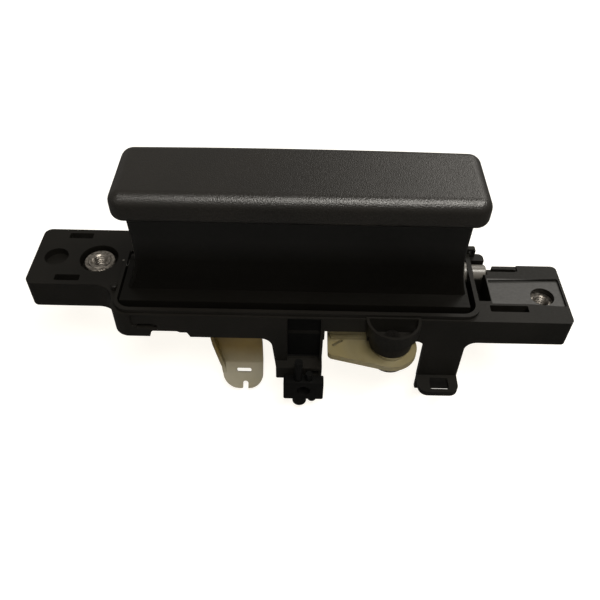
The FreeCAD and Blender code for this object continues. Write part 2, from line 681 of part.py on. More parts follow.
def make_stops():
    floor_top = "skirt_bottom + floor"
    pull = bound_box("pull_stop_bumper",
                     ("70", "pivot_y - skirt_radius - 0.4", floor_top),
                     ("80", "pivot_y - skirt_radius + 3.2", floor_top + " + 0.7"))
    push = bound_box("push_stop_bumper",
                     ("finger_x - 2.5", "finger_y - 5.2", "skirt_bottom"),
                     ("finger_x + 2.5", "finger_y - 3.7", floor_top))
    return [pull, push]


def make_crank_hardware():
    low = "crank_top - crank_thick - 2.4"
    axis = ("crank_x", "crank_y")
    shank = bound_cylinder("crank_shank", "crank_pin_radius", f"boss_floor - ({low}) + 2.6", (*axis, f"{low} - 2.6"))
    head = bound_cylinder("crank_head", "crank_head_radius", "1.2", (*axis, "boss_floor"))
    pin = join("crank_pivot_pin", [shank, head])
    washer = subtract("crank_washer",
                      bound_cylinder("washer_blank", "5", "0.8", (*axis, low + " - 1")),
                      bound_cylinder("washer_hole", "crank_pin_radius", "0.8", (*axis, low + " - 1")))
    clip = subtract("crank_clip",
                    bound_cylinder("clip_blank", "4", "0.8", (*axis, low + " - 1.8")),
                    bound_cylinder("clip_hole", "crank_pin_radius", "0.8", (*axis, low + " - 1.8")))
    return [pin, washer, clip]


def make_lever_screws():
    top = "dish_top - dish_skin"
    screws = []
    for side in ("left", "right"):
        place = (f"screw_{side}", "screw_y")
        shank = bound_cylinder(f"{side}_screw_shank", "screw_radius", "lever_flange_thick + 5.5",
                               (*place, f"{top} - lever_flange_thick"))
        head = bound_cylinder(f"{side}_screw_head", "screw_radius * 1.8", "1.3",
                              (*place, f"{top} - lever_flange_thick - 1.3"))
        screws.append(join(f"{side}_lever_screw", [shank, head]))
    group = doc.addObject("Part::Compound", "lever_screws")
    group.Links = screws
    return [group]


def make_cable_clip():
    body = new_body("cable_clip")
    add_block(body, "XZ", "block_front - 7.4", "block_front - 3.7", "block", rectangle(
        "70.9", "86", "-26", "-16", "0.8"))
    add_block(body, "XZ", "block_front - 3.7", "block_front - 0.6", "back", rectangle(
        "72.4", "79", "-26", "leg_low - 6.1", "0.5"))
    add_block(body, "XY", "-16.5", "-6", "tall_prong", circle("76.5", "block_front - 5.4", "1.5"))
    add_block(body, "XY", "-16.5", "-12.7", "short_prong", circle("80.5", "block_front - 5.4", "1.3"))
    add_block(body, "XY", "-30.5", "-25.5", "lower_barrel", circle("77", "block_front - 4.6", "2.7"))
    add_block(body, "XY", "-29", "-25.5", "small_barrel", circle("81.8", "block_front - 4.6", "1.7"))
    add_cut(body, "XZ", "block_front - 9", "block_front", "cable_seat", circle("78.5", "-21", "2.6"))
    return body


def coil_spring(name, radius, wire, turns, start, along, legs):
    """A torsion spring: a helix with two straight legs, as one swept solid."""
    pitch = value(wire) * 1.12
    helix = Part.makeHelix(pitch, pitch * turns, value(radius))
    helix.rotate(FreeCAD.Vector(0, 0, 0), FreeCAD.Vector(0, 0, 1), legs)
    profile_at = helix.Edges[0].valueAt(helix.Edges[0].FirstParameter)
    tangent = helix.Edges[0].tangentAt(helix.Edges[0].FirstParameter)
    disc = Part.Wire(Part.makeCircle(value(wire) / 2, profile_at, tangent))
    solid = Part.Wire(helix.Edges).makePipeShell([disc], True, True)
    piece = doc.addObject("Part::Feature", name)
    piece.Shape = solid
    turn = FreeCAD.Rotation(FreeCAD.Vector(0, 1, 0), 90) if along == "X" else FreeCAD.Rotation()
    piece.Placement = FreeCAD.Placement(FreeCAD.Vector(*[value(text) for text in start]), turn)
    return piece


def make_springs():
    centre = coil_spring("return_spring", "spring_radius", "spring_wire", 8,
                         ("dish_right - spring_depth + 1.6", "pivot_y", "pivot_z"), "X", 30)
    crank = coil_spring("crank_spring", "crank_spring_radius", "spring_wire", 2,
                        ("crank_x", "crank_y", "crank_top - crank_thick - 2.9"), "Z", 60)
    return [centre, crank]


pieces = [make_housing(), make_grip_frame(), make_grip_cover(), make_cable_lever(), make_bell_crank(),
          make_cable_clip()]
pieces += make_inserts() + make_pivot() + make_stops() + make_crank_hardware() + make_lever_screws()
pieces += make_springs()
doc.recompute()


def check_document():
    for item in doc.Objects:
        if "Invalid" in item.State or "Error" in item.State:
            raise RuntimeError(f"{item.Name} did not build: {item.State}")
    for body in [item for item in doc.Objects if item.TypeId == "PartDesign::Body"]:
        volume = 0.0
        for feature in [item for item in body.Group if item.isDerivedFrom("PartDesign::Feature")]:
            grows = feature.TypeId in ("PartDesign::Pad", "PartDesign::AdditiveLoft")
            change = feature.Shape.Volume - volume
            if grows and change <= 0 or feature.TypeId == "PartDesign::Pocket" and change >= 0:
                raise RuntimeError(f"{body.Name}.{feature.Name} changed the volume by {change:.3f}")
            volume = feature.Shape.Volume
    for piece in pieces:
        if piece.Shape.isNull() or not piece.Shape.isValid():
            raise RuntimeError(f"{piece.Label} has no valid shape")


check_document()
os.makedirs("parts", exist_ok=True)
for piece in pieces:
    piece.Shape.exportStep(f"parts/{piece.Label}.step")
    print(piece.Label, len(piece.Shape.Solids), round(piece.Shape.Volume, 1))
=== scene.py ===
import json
import math
import bmesh
import bpy
from mathutils import Matrix, Vector


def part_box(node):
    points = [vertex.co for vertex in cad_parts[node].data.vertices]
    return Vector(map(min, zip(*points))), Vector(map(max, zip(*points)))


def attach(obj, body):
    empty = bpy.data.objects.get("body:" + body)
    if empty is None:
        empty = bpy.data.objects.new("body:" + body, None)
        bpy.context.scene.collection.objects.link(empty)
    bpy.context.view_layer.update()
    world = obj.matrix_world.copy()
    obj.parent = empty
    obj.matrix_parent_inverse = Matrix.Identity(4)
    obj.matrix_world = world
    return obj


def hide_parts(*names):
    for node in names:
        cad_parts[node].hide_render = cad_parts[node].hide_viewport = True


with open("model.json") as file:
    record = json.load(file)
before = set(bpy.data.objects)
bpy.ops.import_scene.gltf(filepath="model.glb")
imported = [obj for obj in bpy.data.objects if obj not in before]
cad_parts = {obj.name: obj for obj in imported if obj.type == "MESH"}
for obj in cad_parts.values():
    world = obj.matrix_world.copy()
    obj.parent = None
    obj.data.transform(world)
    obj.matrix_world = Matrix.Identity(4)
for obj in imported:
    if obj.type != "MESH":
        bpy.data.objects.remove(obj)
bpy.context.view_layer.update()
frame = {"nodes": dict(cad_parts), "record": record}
nodes = frame["nodes"]
scene = bpy.context.scene
print("frame loaded:", len(nodes), "nodes")

mm = 0.001
boxOf = {name: [[place / mm for place in corner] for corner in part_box(name)] for name in nodes}
slotOf = {part["node"]: part["material_slot"] for part in frame["record"]["subparts"]}


def hexToLinear(code):
    # sRGB hex as a designer would write it, to the linear values that the shader wants
    channels = [int(code[i:i + 2], 16) / 255 for i in (1, 3, 5)]
    linear = [c / 12.92 if c <= 0.04045 else ((c + 0.055) / 1.055) ** 2.4 for c in channels]
    return (*linear, 1.0)


def addNode(tree, kind, settings=None, inputs=None, stops=()):
    # one node with its settings; each input takes a value, a socket, or a node by its first output
    node = tree.nodes.new(kind)
    for name, setting in (settings or {}).items():
        setattr(node, name, setting)
    for name, source in (inputs or {}).items():
        if isinstance(source, bpy.types.Node):
            source = source.outputs[0]
        if isinstance(source, bpy.types.NodeSocket):
            tree.links.new(source, node.inputs[name])
        else:
            node.inputs[name].default_value = source
    for number, (position, tone) in enumerate(stops):  # a ramp's two stops, as hex colours or grey levels
        stop = node.color_ramp.elements[number]
        stop.position = position
        stop.color = hexToLinear(tone) if isinstance(tone, str) else (tone, tone, tone, 1.0)
    return node


def newMaterial(name):
    # an empty material, its node tree and the object's own space in real metres for the patterns
    material = bpy.data.materials.new(name)
    material.use_nodes = True
    tree = material.node_tree
    tree.nodes.clear()
    return material, tree, addNode(tree, "ShaderNodeTexCoord").outputs["Object"]


def finishSurface(tree, inputs):
    surface = addNode(tree, "ShaderNodeBsdfPrincipled", inputs=inputs)
    addNode(tree, "ShaderNodeOutputMaterial", inputs={"Surface": surface})


# Grained ABS cap cover, injection moulded in an etched tool: fine leather grain, soft satin shine
grainedAbsLook = {"dark": "#0e0c09", "light": "#14110d", "cellMm": 0.36, "cellBlend": 0.35,
                  "cellHeight": -1.4, "poreMm": 0.35, "driftMm": 0.9, "driftOverMm": 16.7, "patchMm": 28.6,
                  "grainDepth": 0.42, "reliefMm": 0.12, "roughness": 0.31, "specular": 0.45, "ior": 1.53}


def makeGrainedAbs():
    look = grainedAbsLook
    material, tree, place = newMaterial("grainedAbsCover")
    # the cells are pushed about a little, so that the grain has no rows
    drift = addNode(tree, "ShaderNodeTexNoise", inputs={
        "Vector": place, "Scale": 1 / (look["driftOverMm"] * mm), "Detail": 2.0})
    warped = addNode(tree, "ShaderNodeVectorMath", {"operation": "MULTIPLY_ADD"}, {
        0: drift.outputs["Color"], 1: [look["driftMm"] * mm] * 3, 2: place})
    cells = addNode(tree, "ShaderNodeTexVoronoi", {"feature": "SMOOTH_F1"}, {
        "Vector": warped, "Scale": 1 / (look["cellMm"] * mm), "Smoothness": look["cellBlend"],
        "Randomness": 1.0})
    pores = addNode(tree, "ShaderNodeTexNoise", inputs={
        "Vector": place, "Scale": 1 / (look["poreMm"] * mm), "Detail": 3.0})
    height = addNode(tree, "ShaderNodeMath", {"operation": "MULTIPLY_ADD"}, {
        0: cells, 1: look["cellHeight"], 2: pores})
    relief = addNode(tree, "ShaderNodeBump", inputs={
        "Height": height, "Strength": look["grainDepth"], "Distance": look["reliefMm"] * mm})
    patches = addNode(tree, "ShaderNodeTexNoise", inputs={
        "Vector": place, "Scale": 1 / (look["patchMm"] * mm), "Detail": 4.0})
    colour = addNode(tree, "ShaderNodeValToRGB", inputs={"Fac": patches},
                     stops=[(0.3, look["dark"]), (0.75, look["light"])])
    dullness = addNode(tree, "ShaderNodeValToRGB", inputs={"Fac": cells},
                       stops=[(0.0, look["roughness"] + 0.1), (0.7, look["roughness"])])
    finishSurface(tree, {"Base Color": colour, "Roughness": dullness, "Normal": relief, "IOR": look["ior"],
                         "Specular IOR Level": look["specular"]})
    return material


# Black and grey mouldings: faint fibre mottling, flow marks, a slightly dry shine.
# The fibres are finer than this on the real part, and are drawn as coarse as they need to show.
nylonLooks = {
    # glass-filled nylon housing: dull, with one strip of the right ear that the tool leaves smoother
    "housing_nylon": {"name": "glassFilledNylonHousing", "dark": "#0c0b08", "light": "#12100d",
                      "roughness": 0.5, "mottleMm": 0.5, "depth": 0.25, "specular": 0.16,
                      "strip": {"sides": (("X", 145.5, 172.5), ("Y", -19.6, -6.4), ("Z", 10.8, 14.0)),
                                "blend": 0.5, "specular": 0.7}},
    # smooth nylon grip: polished towards the cap, dull where it runs down into the dish
    "grip_nylon": {"name": "smoothNylonGrip", "dark": "#090806", "light": "#0c0b09", "roughness": 0.4,
                   "mottleMm": 0.9, "depth": 0.14, "specular": 0.34, "fadeMm": (26.0, 36.0), "fadeTo": 0.25},
    # unfilled nylon clip: very black and dry; the same black on the cable channel's walls is painted shade
    # in the deep channel
    "clip_nylon": {"name": "dryNylonClip", "dark": "#040404", "light": "#080807", "roughness": 0.5,
                   "mottleMm": 0.6, "depth": 0.2, "specular": 0.1},
    # acetal pivot bushes: even and slippery; their pale grey is painted sheen on black acetal
    "bush_acetal": {"name": "greyAcetalBush", "dark": "#55524d", "light": "#67645e", "roughness": 0.32,
                    "mottleMm": 0.8, "depth": 0.1, "specular": 0.5},
}
nylonCommon = {"flow": (0.45, 1.0, 1.0), "patchMm": 22.2, "reliefMm": 0.08, "ior": 1.53}


def stripShare(tree, place, strip):
    # 1 inside the strip's box and 0 outside it, blended over its edges
    ways = addNode(tree, "ShaderNodeSeparateXYZ", inputs={"Vector": place})
    share = 1.0
    for axis, low, high in strip["sides"]:
        for side, inward in ((low, 1), (high, -1)):
            step = addNode(tree, "ShaderNodeMapRange", {"interpolation_type": "SMOOTHSTEP"}, {
                "Value": ways.outputs[axis], "From Min": side * mm,
                "From Max": (side + inward * strip["blend"]) * mm})
            share = addNode(tree, "ShaderNodeMath", {"operation": "MULTIPLY"}, {0: share, 1: step})
    return share


def makeNylon(look):
    common = nylonCommon
    material, tree, place = newMaterial(look["name"])
    along = addNode(tree, "ShaderNodeMapping", inputs={"Vector": place, "Scale": common["flow"]})
    fibres = addNode(tree, "ShaderNodeTexNoise", inputs={
        "Vector": along, "Scale": 1 / (look["mottleMm"] * mm), "Detail": 5.0, "Roughness": 0.6})
    relief = addNode(tree, "ShaderNodeBump", inputs={
        "Height": fibres, "Strength": look["depth"], "Distance": common["reliefMm"] * mm})
    patches = addNode(tree, "ShaderNodeTexNoise", inputs={
        "Vector": place, "Scale": 1 / (common["patchMm"] * mm), "Detail": 3.0})
    colour = addNode(tree, "ShaderNodeValToRGB", inputs={"Fac": patches},
                     stops=[(0.3, look["dark"]), (0.72, look["light"])])
    dullness = addNode(tree, "ShaderNodeValToRGB", inputs={"Fac": fibres},
                       stops=[(0.3, look["roughness"] - 0.06), (0.7, look["roughness"] + 0.08)])
    shine = look["specular"]
    if "fadeMm" in look:
        ways = addNode(tree, "ShaderNodeSeparateXYZ", inputs={"Vector": place})
        low, high = look["fadeMm"]
        shine = addNode(tree, "ShaderNodeMapRange", inputs={
            "Value": ways.outputs["Z"], "From Min": low * mm, "From Max": high * mm,
            "To Min": look["specular"] * look["fadeTo"], "To Max": look["specular"]})
    if "strip" in look:
        shine = addNode(tree, "ShaderNodeMapRange", inputs={
            "Value": stripShare(tree, place, look["strip"]), "To Min": look["specular"],
            "To Max": look["strip"]["specular"]})
    finishSurface(tree, {"Base Color": colour, "Roughness": dullness, "Normal": relief, "IOR": common["ior"],
                         "Specular IOR Level": shine})
    return material


# Natural acetal, injection moulded and uncoloured: waxy cream that lets a little light in
acetalLooks = {
    "natural_acetal": {"name": "naturalAcetal", "shade": "#625838", "body": "#6f6850", "scatterMm": 1.2},
    # the lever's web has painted shade, a deeper amber where it hangs under the housing, and its thin foot
    # is painted paler for the light that comes through it
    "lever_acetal_painted_shade_and_light": {"name": "leverAcetal", "shade": "#554416", "body": "#685524", "tipShade": "#6e6852",
                     "tip": "#7d7868", "webZ": -14.0, "tipZ": -27.0, "scatterMm": 1.0},
}
acetalCommon = {"cloudMm": 14.3, "flowMm": 1.6, "roughness": 0.36, "depth": 0.12, "reliefMm": 0.08,
                "scatter": 0.12, "scatterTint": (1.0, 0.8, 0.45), "ior": 1.48}


def makeAcetal(look):
    common = acetalCommon
    material, tree, place = newMaterial(look["name"])
    clouds = addNode(tree, "ShaderNodeTexNoise", inputs={
        "Vector": place, "Scale": 1 / (common["cloudMm"] * mm), "Detail": 4.0})
    flow = addNode(tree, "ShaderNodeTexNoise", inputs={
        "Vector": place, "Scale": 1 / (common["flowMm"] * mm), "Detail": 3.0})
    relief = addNode(tree, "ShaderNodeBump", inputs={
        "Height": flow, "Strength": common["depth"], "Distance": common["reliefMm"] * mm})
    colour = addNode(tree, "ShaderNodeValToRGB", inputs={"Fac": clouds},
                     stops=[(0.3, look["shade"]), (0.68, look["body"])])
    # painted shade and light: darker amber over the web, blending by height to a paler cream towards the
    # foot
    if "tip" in look:
        paintedLitFoot = addNode(tree, "ShaderNodeValToRGB", inputs={"Fac": clouds},
                       stops=[(0.3, look["tipShade"]), (0.68, look["tip"])])
        ways = addNode(tree, "ShaderNodeSeparateXYZ", inputs={"Vector": place})
        share = addNode(tree, "ShaderNodeMapRange", inputs={
            "Value": ways.outputs["Z"], "From Min": look["webZ"] * mm, "From Max": look["tipZ"] * mm})
        # the mix node's colour sockets: 6 and 7 go in, 2 comes out
        blend = addNode(tree, "ShaderNodeMix", {"data_type": "RGBA"}, {0: share, 6: colour, 7: paintedLitFoot})
        colour = blend.outputs[2]
    dullness = addNode(tree, "ShaderNodeValToRGB", inputs={"Fac": flow},
                       stops=[(0.3, common["roughness"] - 0.05), (0.7, common["roughness"] + 0.08)])
    finishSurface(tree, {"Base Color": colour, "Roughness": dullness, "Normal": relief, "IOR": common["ior"],
                         "Subsurface Weight": common["scatter"], "Subsurface Radius": common["scatterTint"],
                         "Subsurface Scale": look["scatterMm"] * mm})
    return material


# Steels, told apart by tint, roughness and the way of the marks, which are drawn coarse enough to show
steelLooks = {
    # the crank's pin, blackened in oil: dark and dull
    "blackened_steel": {"name": "blackenedSteel", "dark": "#1a1917", "light": "#2b2927", "roughness": 0.45,
                        "stretch": (1.0, 1.0, 1.0)},
    # inserts, screws and washer, zinc plated: pale and a little cloudy
    "zinc_steel": {"name": "zincPlatedSteel", "dark": "#6a645d", "light": "#b0aaa2", "roughness": 0.34,
                   "stretch": (0.5, 0.5, 0.5)},
    # the shaft, ground round: bright, marks along it
    "bright_steel": {"name": "groundSteel", "dark": "#9d9b98", "light": "#c9c7c4", "roughness": 0.22,
                     "stretch": (0.15, 1.0, 1.0)},
    # springs and retaining ring, oiled wire: grey with a wet shine
    "spring_steel": {"name": "oiledSpringWire", "dark": "#55524e", "light": "#7f7b75", "roughness": 0.3,
                     "stretch": (1.0, 1.0, 1.0)},
}
steelCommon = {"markMm": 0.5, "depth": 0.15, "reliefMm": 0.04}


def makeSteel(look):
    common = steelCommon
    material, tree, place = newMaterial(look["name"])
    along = addNode(tree, "ShaderNodeMapping", inputs={"Vector": place, "Scale": look["stretch"]})
    marks = addNode(tree, "ShaderNodeTexNoise", inputs={
        "Vector": along, "Scale": 1 / (common["markMm"] * mm), "Detail": 4.0})
    relief = addNode(tree, "ShaderNodeBump", inputs={
        "Height": marks, "Strength": common["depth"], "Distance": common["reliefMm"] * mm})
    colour = addNode(tree, "ShaderNodeValToRGB", inputs={"Fac": marks},
                     stops=[(0.3, look["dark"]), (0.7, look["light"])])
    dullness = addNode(tree, "ShaderNodeValToRGB", inputs={"Fac": marks},
                       stops=[(0.25, look["roughness"] - 0.07), (0.75, look["roughness"] + 0.1)])
    finishSurface(tree, {"Base Color": colour, "Roughness": dullness, "Normal": relief, "Metallic": 1.0})
    return material


# Moulded nitrile rubber of the stop bumpers: dull, slightly dusty black
rubberLook = {"dark": "#141414", "light": "#24231f", "dustMm": 0.7, "depth": 0.25, "reliefMm": 0.1,
              "roughness": 0.78, "ior": 1.52}


def makeRubber():
    look = rubberLook
    material, tree, place = newMaterial("mouldedRubber")
    dust = addNode(tree, "ShaderNodeTexNoise", inputs={
        "Vector": place, "Scale": 1 / (look["dustMm"] * mm), "Detail": 4.0})
    relief = addNode(tree, "ShaderNodeBump", inputs={
        "Height": dust, "Strength": look["depth"], "Distance": look["reliefMm"] * mm})
    colour = addNode(tree, "ShaderNodeValToRGB", inputs={"Fac": dust},
                     stops=[(0.35, look["dark"]), (0.8, look["light"])])
    finishSurface(tree, {"Base Color": colour, "Roughness": look["roughness"], "Normal": relief,
                         "IOR": look["ior"]})
    return material


materials = {"grained_cover": makeGrainedAbs(), "stop_rubber": makeRubber()}
materials.update({slot: makeNylon(look) for slot, look in nylonLooks.items()})
materials.update({slot: makeAcetal(look) for slot, look in acetalLooks.items()})
materials.update({slot: makeSteel(look) for slot, look in steelLooks.items()})
for name, node in nodes.items():
    node.data.materials.clear()
    node.data.materials.append(materials["blackened_steel" if name == "crank_pivot_pin" else slotOf[name]])
print("materials on", len(nodes), "nodes")


# Piece helpers: all lengths are millimetres of the shared frame

def newPiece(name, corners, faces, slot):
    mesh = bpy.data.meshes.new(name)
    mesh.from_pydata([Vector(corner) * mm for corner in corners], [], faces)
    mesh.validate()
    mesh.polygons.foreach_set("use_smooth", [True] * len(mesh.polygons))
    mesh.materials.append(materials[slot])
    piece = bpy.data.objects.new(name, mesh)
    scene.collection.objects.link(piece)
    return piece


def standFor(piece, body, slot, *hidden):
    # the piece moves with the body and stands for the named CAD nodes
    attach(piece, body)
    if hidden:
        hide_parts(*hidden)


def ringFaces(rings, count, closed=False):
    # quads between rings of the same number of corners, and a lid on each end of an open stack
    faces = []
    for level in range(rings if closed else rings - 1):
        low, high = level * count, (level + 1) % rings * count
        for step in range(count):
            after = (step + 1) % count
            faces.append((low + step, low + after, high + after, high + step))
    if not closed:
        faces.append(tuple(reversed(range(count))))
        faces.append(tuple(range((rings - 1) * count, rings * count)))
    return faces


def newBlock(name, low, high, slot):
    corners = [(x, y, z) for z in (low[2], high[2]) for x, y in (
        (low[0], low[1]), (high[0], low[1]), (high[0], high[1]), (low[0], high[1]))]
    return newPiece(name, corners, ringFaces(2, 4), slot)


def evenNormals(piece):
    weighted = piece.modifiers.new("weighted", "WEIGHTED_NORMAL")
    weighted.keep_sharp = True


def keepCreases(piece, degrees=30):
    # smooth over the roundings, sharp at the real edges
    split = piece.modifiers.new("creases", "EDGE_SPLIT")
    split.split_angle = math.radians(degrees)
    evenNormals(piece)


def softenEdges(piece, width, degrees, segments=3):
    rounding = piece.modifiers.new("edgeRound", "BEVEL")
    rounding.width = width * mm
    rounding.segments = segments
    rounding.limit_method = "ANGLE"
    rounding.angle_limit = math.radians(degrees)
    evenNormals(piece)


def breakEdges(piece, width):
    # the CAD's facets on one plane are joined first, so that only real edges are rounded
    flatten = piece.modifiers.new("flatten", "DECIMATE")
    flatten.decimate_type = "DISSOLVE"
    flatten.angle_limit = math.radians(0.8)
    softenEdges(piece, width, 38, segments=2)


def spinProfile(name, profile, centre, along, slot, steps=72):
    # a turned piece: a closed profile of (radius, height) spun about an axis
    corners = []
    for radius, height in profile:
        for step in range(steps):
            angle = 2 * math.pi * step / steps
            across, up = radius * math.cos(angle), radius * math.sin(angle)
            place = (height, across, up) if along == "x" else (across, up, height)
            corners.append(tuple(a + b for a, b in zip(place, centre)))
    piece = newPiece(name, corners, ringFaces(len(profile), steps, closed=True), slot)
    keepCreases(piece)
    return piece


# Moulded edges: every plastic edge is broken by a small radius, as the tool leaves it
edgeRounds = {"grip_frame": 0.25, "bell_crank": 0.3, "cable_clip": 0.3, "lever_screws": 0.15,
              "crank_pivot_pin": 0.3}
housingEdge = 0.28
for name, width in edgeRounds.items():
    breakEdges(nodes[name], width)
print("edges broken on", len(edgeRounds), "nodes")


# Housing shell: the CAD housing with the bell crank's bay and the deep cable channel cut into its front wall
housingCuts = {"crankBay": ((85.6, -29.6, -1.0), (101.0, -26.0, 5.2)),
               "crankWindow": ((85.6, -26.4, -1.0), (102.4, -19.4, 3.4)),
               "cableChannel": ((72.2, -29.6, -11.8), (84.2, -25.6, 11.4)),
               "backSlot": ((147.4, -2.9, 6.0), (157.2, -1.0, 14.0))}
weldGap = 1e-7  # metres, so that only the same corner of two faces is joined


def cutHousing():
    mesh = nodes["housing"].data.copy()
    mesh.name = "housingShell"
    work = bmesh.new()
    work.from_mesh(mesh)
    bmesh.ops.remove_doubles(work, verts=work.verts, dist=weldGap)
    work.to_mesh(mesh)
    work.free()
    shell = bpy.data.objects.new("housingShell", mesh)
    scene.collection.objects.link(shell)
    shell.matrix_world = nodes["housing"].matrix_world
    for name, (low, high) in housingCuts.items():
        cutter = newBlock(name, low, high, "housing_nylon")
        cutter.data.polygons.foreach_set("use_smooth", [False] * len(cutter.data.polygons))
        step = shell.modifiers.new(name, "BOOLEAN")
        step.operation = "DIFFERENCE"
        step.solver = "EXACT"
        step.object = cutter
    settled = bpy.data.meshes.new_from_object(shell.evaluated_get(bpy.context.evaluated_depsgraph_get()))
    shell.modifiers.clear()
    shell.data = settled
    for name in housingCuts:
        bpy.data.objects.remove(bpy.data.objects[name])
    settled.materials.clear()
    settled.materials.append(materials["housing_nylon"])
    breakEdges(shell, housingEdge)
    standFor(shell, "housing", "housing_nylon", "housing")
    print("housing shell:", len(settled.polygons), "faces")


# Small moulded features of the housing and the bell crank: body, slot, low corner, high corner and edge
smallBlocks = {
    # the channel's back, sides and floor are housing walls in the clip's blacker nylon, as painted shade in
    # the deep channel
    "channelBack": ("housing", "clip_nylon", (71.0, -25.5, -13.0), (85.2, -24.5, 11.8), 0.2),
    "channelLeft": ("housing", "clip_nylon", (71.0, -26.5, -13.0), (72.3, -24.6, 11.8), 0.2),
    "channelRight": ("housing", "clip_nylon", (84.1, -26.5, -13.0), (85.2, -24.6, 11.8), 0.2),
    "channelFloor": ("housing", "clip_nylon", (71.1, -26.5, -12.9), (85.1, -24.6, -11.8), 0.2),
    "rightLegApron": ("housing", "housing_nylon", (122.0, -28.4, -28.0), (137.0, -26.2, -20.9), 0.5),
    "crankRib": ("crank", "natural_acetal", (87.6, -25.3, -1.4), (99.4, -24.0, 2.2), 0.35),
}


def makeSmallBlocks():
    for name, (body, slot, low, high, edge) in smallBlocks.items():
        block = newBlock(name, low, high, slot)
        softenEdges(block, edge, 30)
        standFor(block, body, slot)


# Corner nub: the small turned stop beside the pocket's left front corner
nubLook = {"centre": (9.2, -15.9, 0), "steps": 32,
           "outline": [(0.02, 11.0), (1.3, 11.0), (1.3, 13.9), (0.9, 14.3), (0.02, 14.3)]}


def makeCornerNub():
    look = nubLook
    nub = spinProfile("cornerNub", look["outline"], look["centre"], "z", "housing_nylon", look["steps"])
    standFor(nub, "housing", "housing_nylon")


# Cap cover: a shallow tray turned over, its rims rounded and its back edge bowed out a little
capLook = {"left": 16.9, "right": 134.9, "front": -26.7, "back": 3.6, "top": 62.0, "low": 51.3, "bow": 1.0,
           "corner": 4.4, "leastCorner": 0.25, "topRound": 4.2, "lowRound": 3.3, "wall": 2.2, "inside": 59.0,
           "insideEdge": 0.4, "cornerSteps": 10, "backSteps": 14, "roundSteps": 8}


def capRing(inset, height):
    look = capLook
    middle = (look["left"] + look["right"]) / 2
    half = middle - look["left"]
    radius = max(look["corner"] - inset, look["leastCorner"])
    reach = inset + radius
    left, right = look["left"] + reach, look["right"] - reach
    front, back = look["front"] + reach, look["back"] - reach
    places = []
    for x, y, start in ((left, front, 180), (right, front, 270), (right, back, 0), (left, back, 90)):
        for step in range(look["cornerSteps"] + 1):
            angle = math.radians(start + 90 * step / look["cornerSteps"])
            places.append((x + radius * math.cos(angle), y + radius * math.sin(angle)))
        if start == 0:
            places += [(right + (left - right) * step / look["backSteps"], back + radius)
                       for step in range(1, look["backSteps"])]
    bowed = []
    for x, y in places:
        share = max(0.0, (y - look["front"]) / (look["back"] - look["front"]) - 0.5) * 2
        bowed.append((x, y - look["bow"] * share * ((x - middle) / half) ** 2, height))
    return bowed


def makeCapCover():
    # rings from the tray's inside, round its lower rim and up over the top edge
    look = capLook
    steps = look["roundSteps"]
    edge = look["insideEdge"]
    levels = [(look["wall"] + edge, look["inside"]), (look["wall"], look["inside"] - edge)]
    lowest = math.acos(1 - look["wall"] / look["lowRound"])
    radius = look["lowRound"]
    for angle in [lowest * (1 - step / steps) for step in range(steps + 1)]:
        levels.append((radius * (1 - math.cos(angle)), look["low"] + radius * (1 - math.sin(angle))))
    radius = look["topRound"]
    for angle in [math.pi / 2 * step / steps for step in range(steps + 1)]:
        levels.append((radius * (1 - math.cos(angle)), look["top"] - radius * (1 - math.sin(angle))))
    rings = [capRing(inset, height) for inset, height in levels]
    corners = [corner for ring in rings for corner in ring]
    piece = newPiece("capCover", corners, ringFaces(len(rings), len(rings[0])), "grained_cover")
    keepCreases(piece, 40)
    standFor(piece, "grip", "grained_cover", "grip_cover")


# Threaded inserts: M6 thread as close rings down the bore, the left one with a flange, the right one plain
insertLook = {"bore": 2.5, "threadDepth": 0.45, "crest": 0.15, "pitch": 1.0, "chamfer": 0.5, "edge": 0.3,
              "leftLow": 0.0, "leftHigh": 11.2,
              "leftOutline": [(4.45, 0.0), (4.45, 8.0), (5.6, 8.0), (5.85, 8.3), (5.85, 10.4), (5.5, 10.8),
                              (4.4, 10.8), (4.1, 11.2)]}


def threadedBore(low, high):
    look = insertLook
    profile = [(look["bore"] + look["chamfer"], high)]
    height = high - look["chamfer"]
    while height - look["pitch"] > low:
        profile += [(look["bore"], height), (look["bore"], height - look["crest"]),
                    (look["bore"] + look["threadDepth"], height - look["pitch"] / 2)]
        height -= look["pitch"]
    profile.append((look["bore"], low))
    return profile


def makeInserts():
    look = insertLook
    profile = threadedBore(look["leftLow"], look["leftHigh"]) + look["leftOutline"]
    left = spinProfile("leftThreadedInsert", profile, (0, 0, 0), "z", "zinc_steel")
    standFor(left, "housing", "zinc_steel", "left_insert")
    (side, front, low), (far, back, high) = boxOf["right_insert"]
    radius, edge = (far - side) / 2, look["edge"]
    outline = [(radius - edge, low), (radius, low + edge), (radius, high - edge), (radius - edge, high)]
    centre = ((side + far) / 2, (front + back) / 2, 0)
    right = spinProfile("rightThreadedInsert", threadedBore(low, high) + outline, centre, "z", "zinc_steel")
    standFor(right, "housing", "zinc_steel", "right_insert")


# Right pivot bush: a barrel in the bushes' pale grey, which is painted sheen, with a collar towards the
# pocket
bushLook = {"bore": 2.0, "collarEdge": 0.3, "collarThick": 1.2, "body": 3.1, "nose": 2.8, "noseLength": 0.4}


def makeRightBush():
    look = bushLook
    (left, front, low), (right, back, high) = boxOf["pivot_bush_right"]
    collar, edge = (high - low) / 2, look["collarEdge"]
    profile = [(look["bore"], left), (collar - edge, left), (collar, left + edge),
               (collar, left + look["collarThick"]), (look["body"], left + look["collarThick"]),
               (look["body"], right - look["noseLength"]), (look["nose"], right), (look["bore"], right)]
    centre = (0, (front + back) / 2, (low + high) / 2)
    bush = spinProfile("rightPivotBush", profile, centre, "x", "bush_acetal")
    standFor(bush, "housing", "bush_acetal", "pivot_bush_right")


